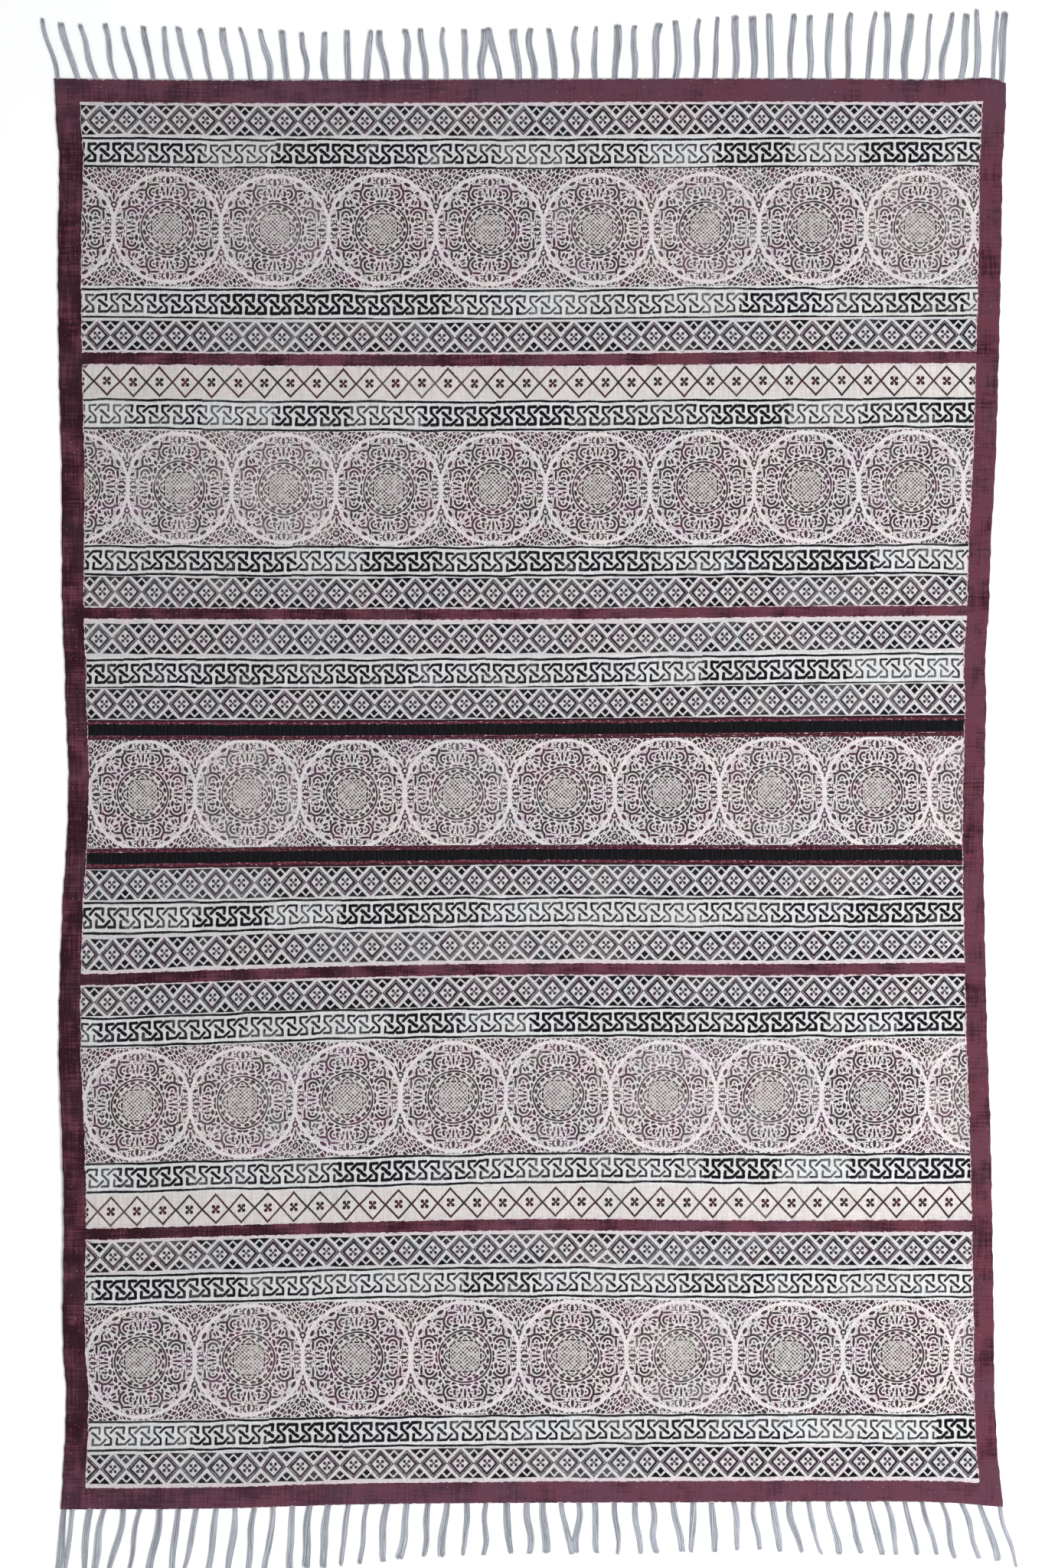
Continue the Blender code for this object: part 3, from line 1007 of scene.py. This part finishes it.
def lattice_cloth(sizes, colours):
    """Linked diamonds with a flower in each, and dark triangles in the corners between.

    The rings of a diamond are where the distance across plus 0.92 of the distance up lies
    between two sizes.  The triangles are cut from the corner above a crossing by a cross of
    cotton: a small diamond below it and a triangle on each side, flat along the band's edge.
    """
    recipe = Recipe("lattice_cotton")
    place, strength, across, up = folded_place(recipe, "lattice", 4)
    ring = recipe.math("MULTIPLY_ADD", up, 0.92, across)
    crossing = REPEAT["lattice"] / 2 - across
    thick = recipe.inked(abs(ring - 12.0) - 2.05, 0.45)
    thin = recipe.inked(abs(ring - 15.7) - 0.95, 0.4)
    between = recipe.inked(abs(ring - 14.0) - 0.9, 0.3)
    between = between * recipe.ramp(recipe.noise(place, 0.12, 2.0), 0.40, 0.62, 0.1, 0.85)
    s = crossing + up
    inside = recipe.smallest([s - 15.2, 18.0 - s])
    corner = recipe.largest([crossing - up + 6.0, up - 18.7, inside])
    triangle = recipe.inked(corner, 0.55)
    flower = small_flower(recipe, across, up, 3.0, 3.15, 2.05, 0.75)
    hue = recipe.noise(place, 0.045, 1.0)
    ink = recipe.mix(recipe.ramp(hue, 0.42, 0.62), (0.036, 0.017, 0.030), (0.015, 0.015, 0.019))
    ink = recipe.mix(recipe.largest([triangle, flower * 0.5]), ink, colours.black)
    lines = recipe.largest([thick, thin, between])
    mask = recipe.largest([lines, triangle]) * coverage(recipe, place, strength, 0.84, 1.0)
    mask = recipe.largest([mask, flower * 0.95])
    base = ground(recipe, (0.555, 0.525, 0.535), (0.520, 0.522, 0.540))
    return cotton_surface(recipe, recipe.mix(mask, base, ink), sizes)


def knot_cloth(sizes, colours):
    """A running knot between two black lines.

    Two figures stand in each repeat, and each looks the same turned half round: a flat-ended S,
    and a pair of hooks round a short slanting bar.  So only half of each is drawn, as straight
    strokes, and a place below the middle is turned half round first.
    """
    recipe = Recipe("knot_cotton")
    pitch = REPEAT["knots"]
    place, strength = block_place(recipe, 3 * pitch)
    u, v = recipe.split(place)
    # The middle of each figure, the corners of its upper half, and the upper end of its bar.
    figures = (
        (0.0, ((0.0, 0.0), (-3.9, 3.7), (-4.1, 10.6), (4.0, 10.8)), None),
        (15.6, ((-12.4, 4.0), (-5.8, 10.7), (4.4, 10.9), (3.9, 3.6)), (-4.6, 3.9)),
    )
    distances = []
    for at, chain, bar in figures:
        x = recipe.math("WRAP", u - at, pitch / 2, -pitch / 2)
        half = recipe.scale(recipe.join(x, v), recipe.math("SIGN", v))
        distances += [stroke(recipe, half, a, b) for a, b in zip(chain, chain[1:])]
        if bar:
            distances.append(stroke(recipe, half, bar, (0.0, 0.0)) - 0.35)
    weight = recipe.ramp(strength, 0.0, 1.0, 1.45, 2.1)
    figure = recipe.inked(recipe.smallest(distances) - weight, 0.45)
    wear = recipe.streaks(place, (0.05, 0.4, 0.0), 2.0)
    line = recipe.inked(abs(abs(v) - 17.8) - (wear * 1.4 + 0.8), 0.4)
    figure_ink = figure * coverage(recipe, place, strength, 0.76, 1.0)
    mask = recipe.largest([figure_ink, line * coverage(recipe, place, strength, 0.92, 1.0)])
    base = ground(recipe, colours.cool_cotton, (0.580, 0.572, 0.566))
    return cotton_surface(recipe, recipe.mix(mask, base, colours.black), sizes)


def diamond_cloth(sizes, colours):
    """A row of single-line diamonds on bare cotton, with four dots on a small cross in each.

    A diamond's line is where the distance across plus 0.93 of the distance up has one size.
    """
    recipe = Recipe("diamond_cotton")
    place, strength, across, up = folded_place(recipe, "diamonds", 4)
    line = recipe.inked(abs(recipe.math("MULTIPLY_ADD", up, 0.93, across) - 16.9) * 0.72 - 1.25, 0.4)
    flower = small_flower(recipe, across, up, 2.9, 3.2, 2.35, 1.1)
    taken = coverage(recipe, place, strength, 0.80, 1.0)
    mask = recipe.largest([line * taken, flower])
    hue = recipe.ramp(recipe.noise(place, 0.025, 1.0), 0.42, 0.58)
    ink = recipe.mix(hue, (0.022, 0.017, 0.018), (0.050, 0.012, 0.018))
    base = ground(recipe, colours.warm_cotton, (0.550, 0.525, 0.515), (0.56, 0.49, 0.50))
    return cotton_surface(recipe, recipe.mix(mask, base, ink), sizes)


# Strokes of one eighth of a medallion, in millimetres from its middle: along the nearest axis
# and aside from it at each end of the stroke, then half its width.
#    along aside  along aside  half
EIGHTH_STROKES = (
    (41.0, 0.0, 51.5, 0.0, 1.45),
    (55.5, 0.9, 63.6, 0.5, 1.35),
    (44.0, 17.6, 45.4, 16.8, 1.35),
    (41.0, 4.4, 45.0, 4.9, 1.45),
    (46.6, 6.2, 51.4, 7.4, 1.60),
    (38.4, 14.6, 38.8, 9.2, 2.00),
    (42.4, 11.6, 45.0, 13.9, 1.55),
    (44.8, 13.7, 48.4, 11.8, 1.55),
    (54.8, 23.0, 55.0, 10.8, 1.50),
    (52.4, 24.4, 57.4, 23.4, 1.35),
    (59.2, 17.6, 63.6, 15.0, 1.90),
    (54.2, 34.4, 57.6, 28.4, 2.10),
    (48.2, 27.2, 48.2, 36.0, 1.60),
    (47.6, 37.0, 44.6, 39.2, 1.40),
    (44.4, 35.0, 41.8, 30.8, 1.40),
    (33.6, 27.4, 39.4, 27.6, 1.35),
    (36.0, 19.8, 36.8, 23.6, 1.45),
    (38.0, 31.6, 40.4, 36.4, 1.60),
    (29.0, 3.0, 27.9, 7.8, 1.90),
    (19.6, 0.0, 19.6, 3.0, 1.30),
    (19.5, 5.6, 19.2, 9.2, 1.30),
    (18.6, 12.0, 16.0, 15.0, 1.35),
    (21.6, 7.0, 24.6, 3.4, 1.30),
    (25.2, 2.2, 26.6, 0.0, 1.15),
    (26.9, 11.6, 24.4, 15.8, 1.90),
    (21.9, 18.4, 20.3, 20.2, 1.80),
    (24.4, 9.4, 22.6, 12.4, 1.20),
)

# Round strokes of the eighth: the centre along and aside, radius, half-width, facing in degrees,
# and how far ahead of the centre the stroke is cut.
#    along aside radius half  facing cut
ROUND_STROKES = (
    (45.2, 16.9, 9.9, 1.45, 96.0, 4.6),
    (44.8, 17.0, 5.0, 1.45, 78.0, -0.8),
    (60.4, 3.4, 3.6, 1.05, 80.0, 0.4),
)

# The flower between two medallions: aside from the line midway and up at each end of a stroke,
# half its width, and the middles of two small rings.
#    aside up     aside up     half
SPANDREL_STROKES = (
    (0.0, 20.4, 0.0, 23.6, 1.60),
    (3.0, 33.0, 6.2, 39.4, 1.30),
    (0.0, 35.6, 0.0, 44.8, 1.50),
    (9.6, 38.4, 12.8, 41.8, 1.90),
    (8.0, 44.4, 12.4, 48.8, 1.80),
    (14.6, 48.4, 20.6, 51.8, 1.80),
)
SPANDREL_RINGS = ((0.0, 29.0), (0.0, 56.6))


def medallion_cloth(sizes, colours):
    """Touching medallions of filigree, a star in the middle of each and leaves between them.

    Every eighth of a medallion is the same, so a place is first folded: along the nearest axis
    and aside from it.  In the star lie a net of dots, dashes on the outlines of two crossed
    squares, almonds and a broken ring.  Round it come the leaves and round strokes of the
    tables, and where none is near, the cells of a Voronoi pattern.  Then comes a plain ring of
    cotton, and in the corners between medallions a flower among slanting cells.
    """
    recipe = Recipe("medallion_cotton")
    reach = REPEAT["medallions"] / 2
    place, strength, across, up = folded_place(recipe, "medallions", 1)
    radius = recipe.vector("LENGTH", recipe.join(across, up))
    along = recipe.math("MAXIMUM", across, up)
    aside = recipe.math("MINIMUM", across, up)
    eighth = recipe.join(along, aside)

    leaves = (leaf(recipe, eighth, *row) for row in EIGHTH_STROKES)
    rounds = (arc(recipe, eighth, *row) for row in ROUND_STROKES)
    nearest = recipe.smallest(itertools.chain(leaves, rounds))
    broken = recipe.noise(place, 0.16, 1.0)
    ring = abs(radius - 32.6) * 0.85 + recipe.ramp(broken, 0.56, 0.70, 0.0, 0.6)
    nearest = recipe.math("MINIMUM", nearest, ring)
    drawn = recipe.ramp(nearest, 0.82, 1.32, 1.0, 0.0)

    filling = cells(recipe, eighth, 0.225, 20.0) * recipe.ramp(nearest, 1.55, 1.95)
    filling = filling * recipe.ramp(abs(radius - 50.3), 15.2, 16.0, 1.0, 0.0)

    rows, lanes = (abs(recipe.math("PINGPONG", way, 5.0) - 2.5) for way in (along + aside, along - aside))
    net = recipe.ramp(rows + lanes, 1.9, 3.3, 1.0, 0.0) * recipe.ramp(radius, 24.0, 26.0, 1.0, 0.0)
    worn = recipe.ramp(recipe.noise(place, 0.17, 2.0), 0.36, 0.58, 0.45, 1.0)
    net = net * recipe.ramp(nearest, 1.4, 1.8) * worn

    between = recipe.join(reach - across, up)
    flower = recipe.smallest(leaf(recipe, between, *row) for row in SPANDREL_STROKES)
    for middle in SPANDREL_RINGS:
        off = recipe.distance(between, *middle)
        flower = recipe.math("MINIMUM", flower, abs(off - 3.0) * 0.8)
    fan = cells(recipe, between, 0.25, -37.0) * recipe.ramp(flower, 1.5, 1.9)
    spandrel = recipe.largest([fan, recipe.ramp(flower, 0.80, 1.30, 1.0, 0.0)])
    spandrel = spandrel * recipe.ramp(radius, 69.6, 70.8)

    taken = coverage(recipe, place, strength, 0.76, 0.98)
    mask = recipe.largest([drawn, filling, net, spandrel]) * taken
    hue = recipe.elsewhere(place, (500.0, 70.0), 0.036, 2.0)
    ink = recipe.mix(recipe.ramp(hue, 0.46, 0.62), colours.brown, (0.062, 0.016, 0.034))
    green = recipe.elsewhere(place, (90.0, 900.0), 0.030, 2.0)
    ink = recipe.mix(recipe.ramp(green, 0.52, 0.66, 0.0, 0.8), ink, (0.034, 0.036, 0.028))
    base = ground(recipe, colours.cotton, (0.600, 0.572, 0.582))
    base = recipe.mix(recipe.ramp(hue, 0.44, 0.62, 0.0, 0.35), base, (0.590, 0.530, 0.590))
    base = recipe.mix(recipe.ramp(radius, 22.0, 32.0, 0.36, 0.0), base, (0.480, 0.465, 0.410))
    return cotton_surface(recipe, recipe.mix(mask, base, ink), sizes)


def black_cloth(sizes, colours):
    """A black band with ragged edges, a red line near its outer edge, two thin ones near its
    inner edge, and maroon along both.

    Lines are where the height above the band's middle, wavering by a noise stretched across,
    lies within half a line's width of the line's own height.
    """
    recipe = Recipe("black_cotton")
    place = recipe.print_place()
    waver = recipe.streaks(place, (0.02, 0.10, 0.0), 3.0)
    height = recipe.split(place)[1] + waver * 3.2 - 1.6
    rag = recipe.streaks(place, (0.25, 0.35, 0.0), 2.0)
    edge = height + rag * 1.6 - 0.8
    streak = recipe.streaks(place, (0.42, 0.02, 0.0), 2.0)
    faded = recipe.ramp(streak, 0.35, 0.75, 0.0, 0.8)
    black = recipe.mix(faded, (0.002, 0.002, 0.003), (0.014, 0.014, 0.018))
    red = recipe.mix(recipe.ramp(rag, 0.38, 0.62), (0.040, 0.007, 0.014), (0.150, 0.036, 0.056))
    upper_red = recipe.inked(abs(edge - 8.4) - 1.6, 0.6)
    lower_red = recipe.inked(abs(abs(edge + 9.6) - 1.3) - 0.9, 0.5)
    colour = recipe.mix(recipe.largest([upper_red, lower_red]), black, red)
    maroon = recipe.inked(abs(abs(height + 0.4) - 11.4) - 1.2, 0.5)
    colour = recipe.mix(maroon * 0.7, colour, (0.050, 0.009, 0.018))
    speck = recipe.streaks(place, (0.20, 0.55, 0.0), 2.0)
    bare = recipe.largest([upper_red, lower_red]) * recipe.ramp(speck, 0.60, 0.70, 0.0, 0.8)
    outside = recipe.ramp(abs(edge), 12.6, 13.6, 0.0, 0.8)
    base = ground(recipe, colours.cotton, (0.60, 0.575, 0.585))
    colour = recipe.mix(recipe.largest([bare, outside]), colour, base)
    return cotton_surface(recipe, colour, sizes)


def back_cloth(sizes, colours):
    """The underside: bare cotton, a little greyer where the bands' ink has come through."""
    recipe = Recipe("bare_cotton")
    place = recipe.object_place()
    through = recipe.ramp(recipe.noise(place, 60.0, 3.0), 0.45, 0.70, 0.0, 0.30)
    base = ground(recipe, colours.cotton, (0.60, 0.58, 0.59))
    return cotton_surface(recipe, recipe.mix(through, base, (0.33, 0.30, 0.31)), sizes)


def tassel_yarn(colours):
    """Loose warp yarn: each yarn of its own tone, with fine flecks along it, paler at the tips."""
    recipe = Recipe("tassel_cotton")
    tone = recipe.attribute("yarn_tone")
    along = recipe.attribute("along_yarn")
    place = recipe.object_place()
    fleck = recipe.streaks(place, (900.0, 260.0, 900.0), 2.0)
    slow = recipe.noise(place, 24.0, 1.0)
    light = tone * 0.55 + fleck * 0.5 + slow * 0.5 + along * 0.12
    dark = tuple(0.62 * part for part in colours.yarn)
    pale = tuple(1.38 * part for part in colours.yarn)
    colour = recipe.mix(recipe.ramp(light, 0.35, 1.15), dark, pale)
    bump = recipe.node("Bump", {}, {"Strength": 0.5, "Distance": 0.2 * MM, "Height": fleck})
    shader = recipe.node("BsdfPrincipled", {},
                         {"Base Color": colour, "Roughness": 0.88, "Normal": bump,
                          "Specular IOR Level": 0.2, "Sheen Weight": 0.1, "Sheen Roughness": 0.6})
    recipe.node("OutputMaterial", {}, {"Surface": shader})
    return recipe.material


def plain_material(name, colour, roughness):
    """One even colour, hardly shining."""
    recipe = Recipe(name)
    shader = recipe.node("BsdfPrincipled", {}, {"Base Color": opaque(colour), "Roughness": roughness,
                                                "Specular IOR Level": 0.1})
    recipe.node("OutputMaterial", {}, {"Surface": shader})
    return recipe.material


# ------------------------------------------------------------------ operators

class RUG_OT_weave_cloth(bpy.types.Operator):
    """Weave and print the cloth"""
    bl_idname = "rug.weave_cloth"
    bl_label = "Weave the Cloth"

    def execute(self, context):
        sizes, colours = context.scene.rug_sizes, context.scene.rug_colours
        makers = {"plum": plum_cloth, "lattice": lattice_cloth, "knots": knot_cloth,
                  "medallions": medallion_cloth, "diamonds": diamond_cloth, "black": black_cloth,
                  "back": back_cloth}
        cloth = weave_cloth(sizes, [makers[slot](sizes, colours) for slot in SLOTS])
        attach(cloth, BODY)
        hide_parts("rug_cloth")
        return {"FINISHED"}


class RUG_OT_tie_fringes(bpy.types.Operator):
    bl_idname = "rug.tie_fringes"
    bl_label = "Tie the Fringes"

    def execute(self, context):
        sizes, colours = context.scene.rug_sizes, context.scene.rug_colours
        cloth = bpy.data.objects.get("woven_cloth")
        if cloth is None:
            raise RuntimeError("weave the cloth before its fringes are tied")
        yarn = tassel_yarn(colours)
        head = tie_fringe("head_tassels", head_comb(), False, sizes, yarn, 21)
        foot = tie_fringe("foot_tassels", foot_comb(), True, sizes, yarn, 22)
        for fringe, node in ((head, "fringe_head_end"), (foot, "fringe_foot_end")):
            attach(fringe, BODY)
            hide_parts(node)
        return {"FINISHED"}


class RUG_OT_set_stage(bpy.types.Operator):
    """Lay the floor, hang the lights and set the camera straight above the rug"""
    bl_idname = "rug.set_stage"
    bl_label = "Set the Stage"

    def execute(self, context):
        scene, studio = context.scene, context.scene.rug_studio
        mesh = bpy.data.meshes.new("pale_floor")
        corners = [(x * FLOOR_REACH, y * FLOOR_REACH, 0) for x, y in ((-1, -1), (1, -1), (1, 1), (-1, 1))]
        mesh.from_pydata(corners, [], [(0, 1, 2, 3)])
        mesh.materials.append(plain_material("pale_floor", studio.floor, 0.9))
        floor = bpy.data.objects.new("pale_floor", mesh)
        floor.location.z = CLOTH_LOW.z - 0.0002
        scene.collection.objects.link(floor)

        key = bpy.data.lights.new("key_light", "AREA")
        key.energy, key.shape, key.size = studio.key_power, "DISK", 2.4
        lamp = bpy.data.objects.new("key_light", key)
        lamp.location = (2.2, -1.2, 3.3)
        lamp.rotation_euler = (-lamp.location).to_track_quat("-Z", "Y").to_euler()
        scene.collection.objects.link(lamp)

        world = bpy.data.worlds.new("soft_studio")
        world.use_nodes = True
        sky = world.node_tree.nodes["Background"]
        sky.inputs["Color"].default_value = (0.98, 0.99, 1.0, 1.0)
        sky.inputs["Strength"].default_value = studio.fill_strength
        scene.world = world
        scene.view_settings.view_transform = "Standard"

        lens = bpy.data.cameras.new("camera")
        lens.lens, lens.sensor_width = 100.0, 36.0
        camera = bpy.data.objects.new("camera", lens)
        camera.location = (*(middle_shift() + CAMERA_ASIDE), studio.camera_height)
        scene.collection.objects.link(camera)
        scene.camera = camera
        return {"FINISHED"}


class RUG_PT_dhurrie(bpy.types.Panel):
    """Sizes, colours and the steps of making the rug"""
    bl_idname = "RUG_PT_dhurrie"
    bl_label = "Dhurrie Rug"
    bl_space_type = "VIEW_3D"
    bl_region_type = "UI"
    bl_category = "Dhurrie"

    def draw(self, context):
        layout = self.layout
        for group in (context.scene.rug_sizes, context.scene.rug_colours, context.scene.rug_studio):
            box = layout.box()
            for name in group.__annotations__:
                box.prop(group, name)
        for operator in OPERATORS:
            layout.operator(operator.bl_idname)


OPERATORS = (RUG_OT_weave_cloth, RUG_OT_tie_fringes, RUG_OT_set_stage)
CLASSES = (RugSizes, RugColours, StudioSettings, *OPERATORS, RUG_PT_dhurrie)


def register():
    for cls in CLASSES:
        bpy.utils.register_class(cls)
    bpy.types.Scene.rug_sizes = PointerProperty(type=RugSizes)
    bpy.types.Scene.rug_colours = PointerProperty(type=RugColours)
    bpy.types.Scene.rug_studio = PointerProperty(type=StudioSettings)


def unregister():
    del bpy.types.Scene.rug_sizes
    del bpy.types.Scene.rug_colours
    del bpy.types.Scene.rug_studio
    for cls in reversed(CLASSES):
        bpy.utils.unregister_class(cls)


def main():
    register()
    bpy.ops.rug.set_stage()
    bpy.ops.rug.weave_cloth()
    bpy.ops.rug.tie_fringes()
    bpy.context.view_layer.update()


if __name__ == "__main__":
    main()
